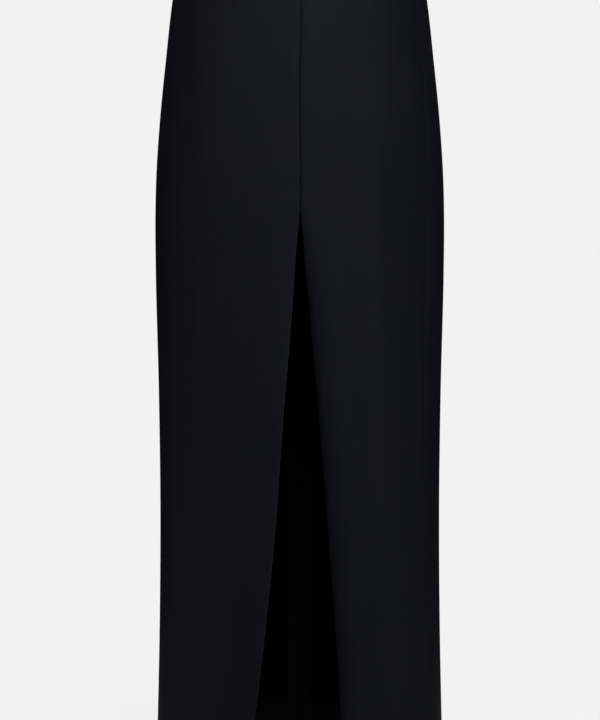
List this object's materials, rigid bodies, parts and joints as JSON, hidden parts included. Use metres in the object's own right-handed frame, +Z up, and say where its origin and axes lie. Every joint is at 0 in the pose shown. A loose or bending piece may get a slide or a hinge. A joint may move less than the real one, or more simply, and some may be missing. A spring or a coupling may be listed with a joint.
{
  "type": "column skirt",
  "caption": "Long straight column skirt in black crepe, worn form with no wearer: plain waistband, open centre front slit, seams and a concealed back zip with a hinged pull.",
  "frame": {"origin": "middle of the waist, level with the top edge of the waistband, where the wearer holds the skirt up", "axes": "+Z up the wearer, -Y to the front (the slit), +X to the wearer's left"},
  "size_m": [0.3606, 0.2855, 1.0501],
  "materials": {
    "cloth": "matte black crepe with a faint blue cast",
    "tape": "woven black tape",
    "zip_metal": "black enamel"
  },
  "bodies": {
    "root": {"front_left": "cloth", "front_right": "cloth", "back_left": "cloth", "back_right": "cloth", "waistband": "cloth", "zip_tape_left": "tape", "zip_tape_right": "tape", "zip_slider": "zip_metal"},
    "zip_pull": {"zip_pull": "zip_metal"}
  },
  "joints": [
    {"name": "zip_pull_hinge", "type": "hinge", "parent": "root", "child": "zip_pull", "pos_m": [0, 0.10744, -0.00933], "axis": [1, 0, 0], "range_deg": [0, 165]}
  ]
}
